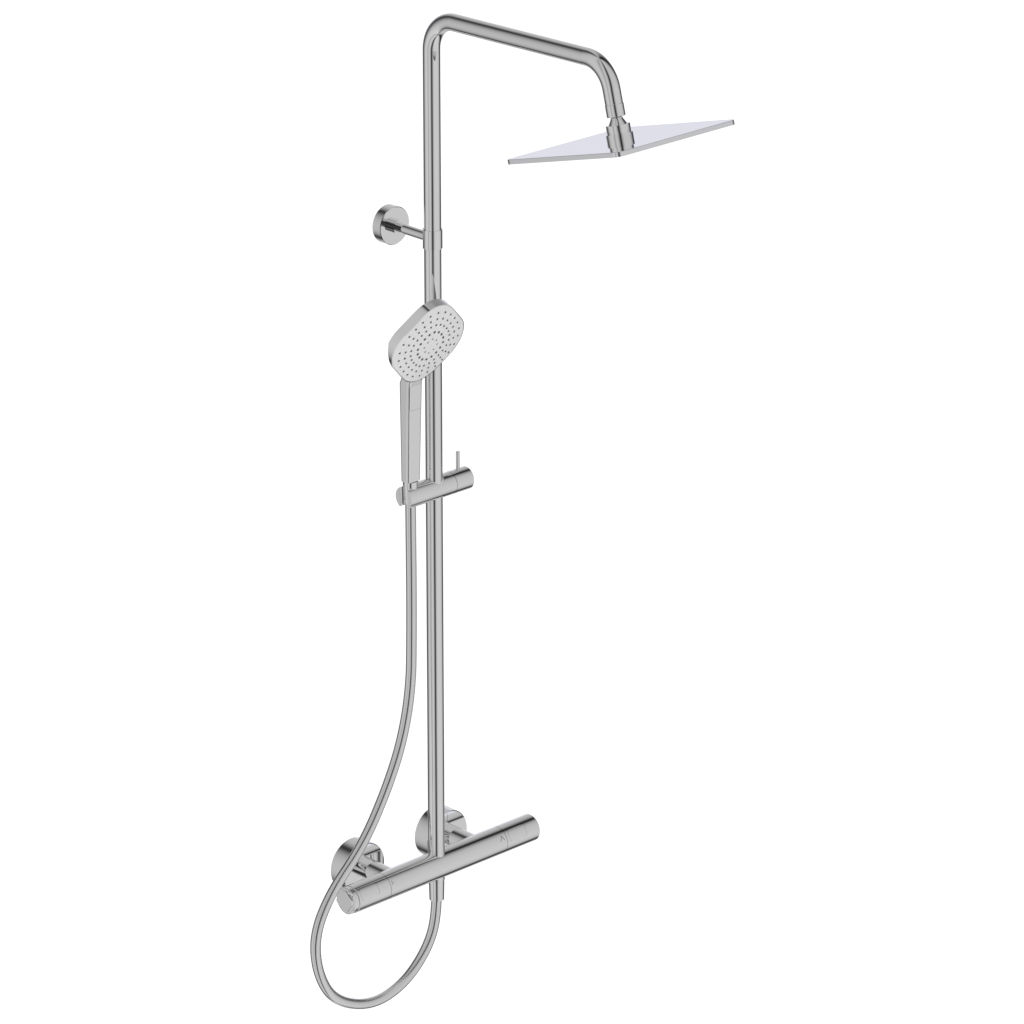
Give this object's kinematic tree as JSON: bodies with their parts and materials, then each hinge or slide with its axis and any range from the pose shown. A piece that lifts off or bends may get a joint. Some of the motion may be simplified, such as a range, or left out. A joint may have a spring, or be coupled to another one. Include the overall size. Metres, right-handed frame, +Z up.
{
  "type": "rainfall shower column",
  "caption": "Wall shower column: thermostatic bar mixer, riser with curved arm, square rain head, sliding holder with hand shower and hose, and wall bracket.",
  "frame": {"origin": "on the finished wall, midway between the two inlet unions", "axes": "+X right along the wall, +Y into the wall, +Z up the riser"},
  "size_m": [0.3931, 0.5311, 1.3393],
  "materials": {
    "chrome": "polished",
    "mirror_steel": "mirror polished",
    "chromed_plastic": "chromed",
    "satin_grey": "satin",
    "nozzle_rubber": "matte",
    "inner_plastic": "matte",
    "brass": "machined",
    "steel": "plain",
    "silver_hose": "satin silver"
  },
  "bodies": {
    "column": {"inlet_unions": "brass", "inlet_escutcheons": "chrome", "inlet_necks": "chrome", "inlet_filter_washers": "nozzle_rubber", "check_valves": "inner_plastic", "mixer_shell": "chrome", "mixer_brass_body": "brass", "thermostatic_cartridge": "inner_plastic", "diverter_cartridge": "inner_plastic", "cartridge_nuts": "brass", "riser_adapter": "brass", "riser_pipe": "chrome", "pipe_joiner": "brass", "rain_arm_pipe": "chrome", "bracket_wall_plate": "steel", "bracket_stem": "chrome", "bracket_escutcheon": "chrome", "bracket_neck_collar": "chrome", "bracket_pipe_collar": "chrome", "arm_end_fitting": "brass", "coupling_nut": "chrome", "ball_stem": "brass", "hose_lower_nut": "chrome", "hose_lower_barb": "brass", "shower_hose": "silver_hose"},
    "temperature_handle": {"temperature_handle": "chrome", "temperature_spindle": "brass", "temperature_handle_screw": "steel", "temperature_end_cap": "chromed_plastic", "temperature_button_spring": "steel"},
    "temperature_button": {"temperature_stop_button": "chromed_plastic"},
    "flow_handle": {"flow_handle": "chrome", "flow_spindle": "brass", "flow_handle_screw": "steel", "flow_end_cap": "chromed_plastic", "flow_button_spring": "steel"},
    "flow_button": {"flow_stop_button": "chromed_plastic"},
    "slider": {"slider_barrel": "chrome", "slider_bush": "inner_plastic"},
    "clamp_lever": {"slider_knob": "chrome", "lever_pin": "chrome", "clamp_spindle": "steel"},
    "brake": {"brake_pad": "inner_plastic"},
    "hose_nut": {"hose_cone_nut": "chrome"},
    "handset": {"handset_body": "chromed_plastic", "handset_head_shell": "chromed_plastic", "handset_face": "satin_grey", "handset_nozzle_mat": "nozzle_rubber", "handset_water_tube": "inner_plastic", "spray_button_spring": "steel"},
    "spray_button": {"spray_button": "chromed_plastic"},
    "ball_seat": {"ball_seat": "inner_plastic"},
    "ball_seal": {"ball_seal": "nozzle_rubber"},
    "rain_head": {"ball_cap": "chrome", "ball_base": "chrome", "head_nut": "brass", "rain_head_top": "mirror_steel", "rain_head_face": "satin_grey", "rain_nozzle_mat": "nozzle_rubber"}
  },
  "joints": [
    {"name": "temperature_turn", "type": "hinge", "parent": "column", "child": "temperature_handle", "pos_m": [-0.125, -0.085, 0.002], "axis": [1, 0, 0], "range_deg": [-135, 60]},
    {"name": "temperature_press", "type": "slide", "parent": "temperature_handle", "child": "temperature_button", "axis": [0, 0.8434, -0.5373], "range_m": [0, 0.0015], "stiffness_N_per_m": 800, "springref_m": -0.002, "deforming": ["temperature_button_spring"]},
    {"name": "flow_turn", "type": "hinge", "parent": "column", "child": "flow_handle", "pos_m": [0.14, -0.085, 0.002], "axis": [1, 0, 0], "range_deg": [-90, 90]},
    {"name": "flow_press", "type": "slide", "parent": "flow_handle", "child": "flow_button", "axis": [0, 0.8434, -0.5373], "range_m": [0, 0.0015], "stiffness_N_per_m": 800, "springref_m": -0.002, "deforming": ["flow_button_spring"]},
    {"name": "slider_height", "type": "slide", "parent": "column", "child": "slider", "axis": [0, 0, 1], "range_m": [-0.2, 0.15], "deforming": ["shower_hose"]},
    {"name": "clamp_turn", "type": "hinge", "parent": "slider", "child": "clamp_lever", "pos_m": [0.0415, -0.085, 0.534], "axis": [1, 0, 0], "range_deg": [0, 90]},
    {"name": "brake_release", "type": "slide", "parent": "slider", "child": "brake", "axis": [1, 0, 0], "range_m": [0, 0.0005]},
    {"name": "handset_lift", "type": "slide", "parent": "slider", "child": "hose_nut", "axis": [0, 0, 1], "range_m": [0, 0.02], "deforming": ["shower_hose"]},
    {"name": "handset_turn", "type": "hinge", "parent": "hose_nut", "child": "handset", "pos_m": [-0.041, -0.085, 0.55], "axis": [0, 0, 1], "range_deg": [-90, 0]},
    {"name": "spray_press", "type": "slide", "parent": "handset", "child": "spray_button", "axis": [0, 1, 0], "range_m": [0, 0.0015], "stiffness_N_per_m": 800, "springref_m": -0.002, "deforming": ["spray_button_spring"]},
    {"name": "head_tilt_across", "type": "hinge", "parent": "column", "child": "ball_seat", "pos_m": [0, -0.41363, 1.08306], "axis": [1, 0, 0], "range_deg": [-7, 7]},
    {"name": "head_tilt_along", "type": "hinge", "parent": "ball_seat", "child": "ball_seal", "pos_m": [0, -0.41363, 1.08306], "axis": [0, 0.9659, -0.2588], "range_deg": [-7, 7]},
    {"name": "head_swivel", "type": "hinge", "parent": "ball_seal", "child": "rain_head", "pos_m": [0, -0.41363, 1.08306], "axis": [0, 0.2588, 0.9659], "range_deg": [-180, 180]}
  ],
  "couplings": [
    {"joint": "brake_release", "follows": "clamp_turn", "m_per_rad": 0.0003}
  ]
}
